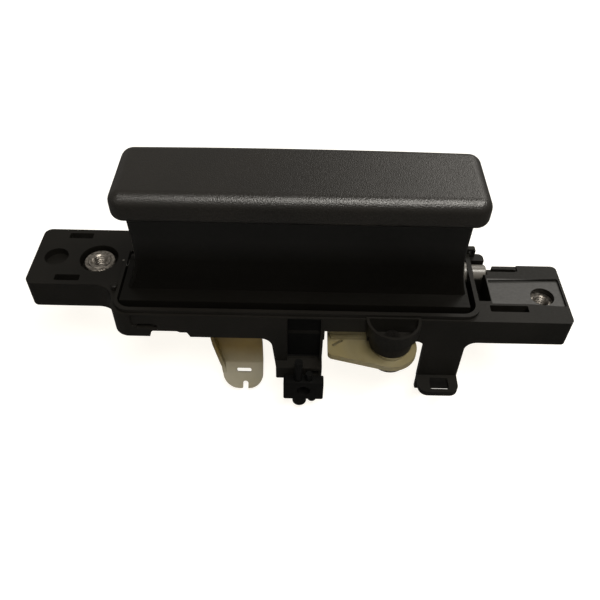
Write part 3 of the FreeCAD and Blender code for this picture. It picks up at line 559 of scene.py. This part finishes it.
# Cable lever: one moulded sheet that is screwed up at its flange, hangs down and turns its foot forward
leverLook = {"thick": 2.2, "edge": 0.45, "flangeBack": -8.2, "flangeZ": 9.9, "webY": -19.2, "turn": 2.0,
             "webTop": 4, "webStep": 3, "webRows": 9, "bendZ": -23.2, "footLength": 10.2, "footRows": 48,
             "left": 42.5, "right": 62.4, "taperTop": -6, "taperOver": 23, "taperMost": 1.2, "taperIn": 4.4,
             "waistZ": -12, "waistOver": 12, "waistIn": 1.6, "tipRound": 5.6,
             "slotX": 54.9, "slotWide": 5.8, "slotTall": 1.7, "slotFromTip": 7.3, "slotToNotch": 2.5,
             "notchWide": 2.2, "notchDeep": 3.0, "notchShift": 0.7, "notchLeast": 0.2}
leverRibLook = {"top": -4.5, "low": -28, "reach": 2.4, "thick": 1.5, "run": 5, "sunk": 0.2, "edge": 0.35,
                "leastShare": 0.05, "bendPart": 3}


def leverPath():
    # stations down the middle of the sheet as (y, z), and the length so far at each
    look = leverLook
    web, turn, rows = look["webY"], look["turn"], look["footRows"]
    stops = [(look["flangeBack"], look["flangeZ"]), (web + turn, look["flangeZ"])]
    for angle in [math.radians(degrees) for degrees in range(15, 91, 15)]:
        stops.append((web + turn * (1 - math.sin(angle)), look["flangeZ"] - turn * (1 - math.cos(angle))))
    stops += [(web, look["webTop"] - look["webStep"] * row) for row in range(look["webRows"])]
    for angle in [math.radians(degrees) for degrees in range(0, 46, 9)]:
        stops.append((web - turn * (1 - math.cos(angle)), look["bendZ"] - turn * math.sin(angle)))
    y, z = stops[-1]
    reach = look["footLength"] * math.sqrt(0.5)
    stops += [(y - reach * row / rows, z - reach * row / rows) for row in range(1, rows + 1)]
    lengths = [0.0]
    for one, two in zip(stops, stops[1:]):
        lengths.append(lengths[-1] + math.dist(one, two))
    return stops, lengths


def leverEdges(z, toTip=math.inf):
    # left and right side of the tongue at a height, drawn in round the tip
    look = leverLook
    taper = min(max((look["taperTop"] - z) / look["taperOver"], 0.0), look["taperMost"])
    waist = min(max((z - look["waistZ"]) / look["waistOver"], 0.0), 1.0)
    left = look["left"] + look["taperIn"] * taper
    right = look["right"] - look["waistIn"] * waist
    if toTip < look["tipRound"]:
        across = 1 - toTip / look["tipRound"]
        drawn = look["tipRound"] * (1 - math.sqrt(max(0.0, 1 - across ** 2)))
        left += drawn
        right -= drawn
    return left, right


def slotEdges(toTip):
    # left and right side of the strip that the cable slot and the notch take, and whether it is open there
    look = leverLook
    tall, notch = look["slotTall"] / 2, look["notchWide"] / 2
    offSlot = toTip - look["slotFromTip"]
    inSlot = abs(offSlot) <= tall
    inNotch = toTip < look["notchDeep"]
    reach = look["slotWide"] / 2 - tall
    if inSlot:
        reach += math.sqrt(tall ** 2 - offSlot ** 2)
    if toTip < look["slotFromTip"] - tall:
        share = min(1.0, (look["slotFromTip"] - tall - toTip) / look["slotToNotch"])
        reach += (notch - reach) * share
        if inNotch and toTip > look["notchDeep"] - 1:
            reach = max(look["notchLeast"], notch * math.sqrt(1 - (toTip - look["notchDeep"] + 1) ** 2))
    middle = look["slotX"] + (look["notchShift"] if inNotch else 0.0)
    return middle - reach, middle + reach, inSlot or inNotch


def makeCableLever():
    stops, lengths = leverPath()
    corners, faces, openRows = [], [], []
    for (y, z), length in zip(stops, lengths):
        toTip = lengths[-1] - length
        left, right = leverEdges(z, toTip)
        slotLeft, slotRight, isOpen = slotEdges(toTip)
        corners += [(left, y, z), (slotLeft, y, z), (slotRight, y, z), (right, y, z)]
        openRows.append(isOpen)
    for row in range(len(stops) - 1):
        for column in range(3):
            if column == 1 and openRows[row] and openRows[row + 1]:
                continue
            start = row * 4 + column
            faces.append((start, start + 1, start + 5, start + 4))
    lever = newPiece("cableLever", corners, faces, "lever_acetal_painted_shade_and_light")
    wall = lever.modifiers.new("wall", "SOLIDIFY")
    wall.thickness = leverLook["thick"] * mm
    wall.offset = 0.0
    wall.use_even_offset = True
    softenEdges(lever, leverLook["edge"], 40)
    standFor(lever, "grip", "natural_acetal", "cable_lever")


def makeLeverRib():
    # the stiffening rib down the left edge of the web, run out at both ends
    look = leverRibLook
    web, front = leverLook["webY"], leverLook["thick"] / 2 - look["sunk"]
    rows = [(y, z) for y, z in leverPath()[0]
            if look["low"] < z < look["top"] and abs(y - web) < look["bendPart"]]
    corners = []
    for y, z in rows:
        left = leverEdges(z)[0]
        share = min(1.0, (look["top"] - z) / look["run"], (z - look["low"]) / look["run"])
        out = look["reach"] * max(look["leastShare"], share)
        for reach, side in ((out, 0), (out, look["thick"]), (0, look["thick"]), (0, 0)):
            corners.append((left + side, y - front - reach, z))
    rib = newPiece("leverRib", corners, ringFaces(len(rows), 4), "lever_acetal_painted_shade_and_light")
    softenEdges(rib, look["edge"], 40)
    standFor(rib, "grip", "natural_acetal")


cutHousing()
makeSmallBlocks()
makeCornerNub()
makeCapCover()
makeInserts()
makeRightBush()
makeCableLever()
makeLeverRib()
print("cap cover, inserts, bush and cable lever made")


# Studio: white floor and surround, a key lamp behind on the right, a soft strip overhead, a weak front fill
studio = {"floorGapMm": 0.4, "floorHalf": 3.0, "paper": "#f7f7f7", "worldLevel": 0.18, "glossLevel": 0.3,
          "floorGloss": 0.14, "seenLevel": 1.35, "floorShadow": 0.35, "tint": (1.0, 0.965, 0.9),
          "middle": (0.0765, -0.012, 0.02)}
lamps = {"keyLamp": {"watts": 1.5, "size": (0.45, 0.3), "away": (0.36, 0.5, 0.5)},
         "topLamp": {"watts": 9.0, "size": (0.8, 0.16), "away": (0.2, -0.24, 0.7)},
         "fillLamp": {"watts": 0.4, "size": (0.6, 0.4), "away": (-0.35, -0.55, 0.45)}}


def backdropLevel(tree, seen, mirrored, other):
    # the white surround as the camera sees it, as the object mirrors it, and as it lights the object
    path = addNode(tree, "ShaderNodeLightPath")
    clear = addNode(tree, "ShaderNodeMath", {"operation": "MAXIMUM"}, {
        0: path.outputs["Is Camera Ray"], 1: path.outputs["Is Transmission Ray"]})
    direct = addNode(tree, "ShaderNodeMath", {"operation": "MULTIPLY_ADD"}, {
        0: clear, 1: seen - other, 2: other})
    return addNode(tree, "ShaderNodeMath", {"operation": "MULTIPLY_ADD"}, {
        0: path.outputs["Is Glossy Ray"], 1: mirrored - other, 2: direct})


# Matte white paper under the handle: it glows for the camera and keeps a soft shadow
def makeFloor():
    height = min(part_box(name)[0][2] for name in nodes) - studio["floorGapMm"] * mm
    half = studio["floorHalf"]
    mesh = bpy.data.meshes.new("floor")
    corners = [(x * half, y * half, height) for x, y in ((-1, -1), (1, -1), (1, 1), (-1, 1))]
    mesh.from_pydata(corners, [], [(0, 1, 2, 3)])
    floor = bpy.data.objects.new("floor", mesh)
    scene.collection.objects.link(floor)
    material = bpy.data.materials.new("matteWhitePaper")
    material.use_nodes = True
    tree = material.node_tree
    tree.nodes.clear()
    paper = addNode(tree, "ShaderNodeBsdfDiffuse", inputs={"Color": hexToLinear(studio["paper"])})
    glow = addNode(tree, "ShaderNodeEmission", inputs={
        "Color": (*studio["tint"], 1.0),
        "Strength": backdropLevel(tree, studio["seenLevel"], studio["floorGloss"], 0.0)})
    share = backdropLevel(tree, 1 - studio["floorShadow"], 1.0, 0.0)
    mix = addNode(tree, "ShaderNodeMixShader", inputs={0: share, 1: paper, 2: glow})
    addNode(tree, "ShaderNodeOutputMaterial", inputs={"Surface": mix})
    mesh.materials.append(material)


def makeWorld():
    world = bpy.data.worlds.new("studioWorld")
    scene.world = world
    world.use_nodes = True
    tree = world.node_tree
    tree.nodes.clear()
    level = backdropLevel(tree, studio["seenLevel"], studio["glossLevel"], studio["worldLevel"])
    background = addNode(tree, "ShaderNodeBackground", inputs={
        "Color": (*studio["tint"], 1.0), "Strength": level})
    addNode(tree, "ShaderNodeOutputWorld", inputs={"Surface": background})


def makeLamps():
    middle = Vector(studio["middle"])
    for name, look in lamps.items():
        light = bpy.data.lights.new(name, "AREA")
        light.energy = look["watts"]
        light.color = studio["tint"]
        light.shape = "RECTANGLE"
        light.size, light.size_y = look["size"]
        lamp = bpy.data.objects.new(name, light)
        lamp.location = middle + Vector(look["away"])
        lamp.rotation_euler = (-Vector(look["away"])).to_track_quat("-Z", "Y").to_euler()
        scene.collection.objects.link(lamp)


# Camera: the photograph looks down at 46.5 degrees with the right side a little lower
shot = {"placeMm": (76.5, -184.9, 186.1), "downDeg": 46.5, "rollDeg": 1.2, "lensMm": 40.1, "sensorMm": 36.0,
        "nearest": 0.01}


def makeCamera():
    data = bpy.data.cameras.new("photoCamera")
    data.lens = shot["lensMm"]
    data.sensor_width = shot["sensorMm"]
    data.clip_start = shot["nearest"]
    camera = bpy.data.objects.new("photoCamera", data)
    tilt = Matrix.Rotation(math.radians(90 - shot["downDeg"]), 4, "X")
    roll = Matrix.Rotation(math.radians(shot["rollDeg"]), 4, "Z")
    camera.matrix_world = Matrix.Translation(Vector(shot["placeMm"]) * mm) @ tilt @ roll
    scene.collection.objects.link(camera)
    scene.camera = camera


makeFloor()
makeWorld()
makeLamps()
makeCamera()
scene.view_settings.view_transform = "Standard"
print("studio and camera ready")
